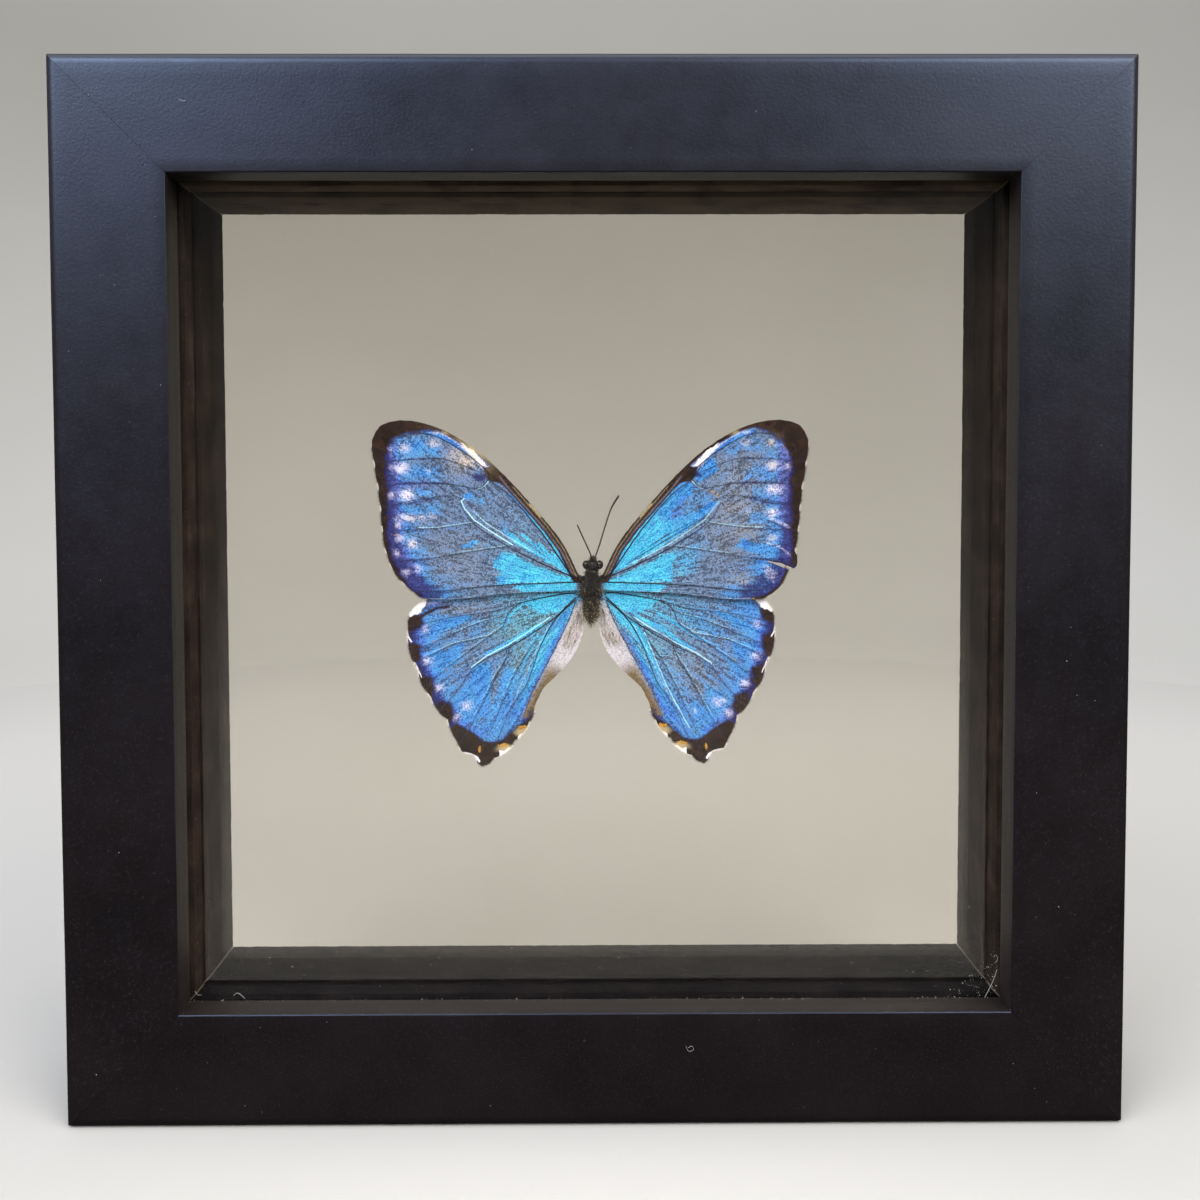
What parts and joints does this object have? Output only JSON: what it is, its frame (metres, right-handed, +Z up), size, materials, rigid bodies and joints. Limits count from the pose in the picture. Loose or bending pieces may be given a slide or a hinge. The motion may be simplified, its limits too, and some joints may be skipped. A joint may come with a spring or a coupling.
{
  "type": "framed butterfly specimen",
  "caption": "Blue butterfly with spread wings held between two clear panes in a square black box frame that stands or hangs.",
  "frame": {"origin": "middle of the frame's bottom face", "axes": "+Z up, the display side faces -Y, +X to the right seen from the front"},
  "size_m": [0.2, 0.03, 0.2],
  "materials": {
    "lacquer": "satin black lacquer",
    "strip": "matt black stain",
    "glass": "clear, lightly dusty",
    "wing": "scaled membrane with a metallic blue sheen",
    "cuticle": "dull, hairy",
    "glue": "clear dried drop"
  },
  "bodies": {
    "root": {"rail_bottom": "lacquer", "rail_right": "lacquer", "rail_top": "lacquer", "rail_left": "lacquer", "spacer_bottom": "strip", "spacer_right": "strip", "spacer_top": "strip", "spacer_left": "strip", "stop_bottom": "strip", "stop_right": "strip", "stop_top": "strip", "stop_left": "strip", "front_glass": "glass", "rear_glass": "glass", "forewing_left": "wing", "forewing_right": "wing", "hindwing_left": "wing", "hindwing_right": "wing", "body": "cuticle", "antenna_left": "cuticle", "antenna_right": "cuticle", "glue_drop": "glue"}
  },
  "joints": []
}
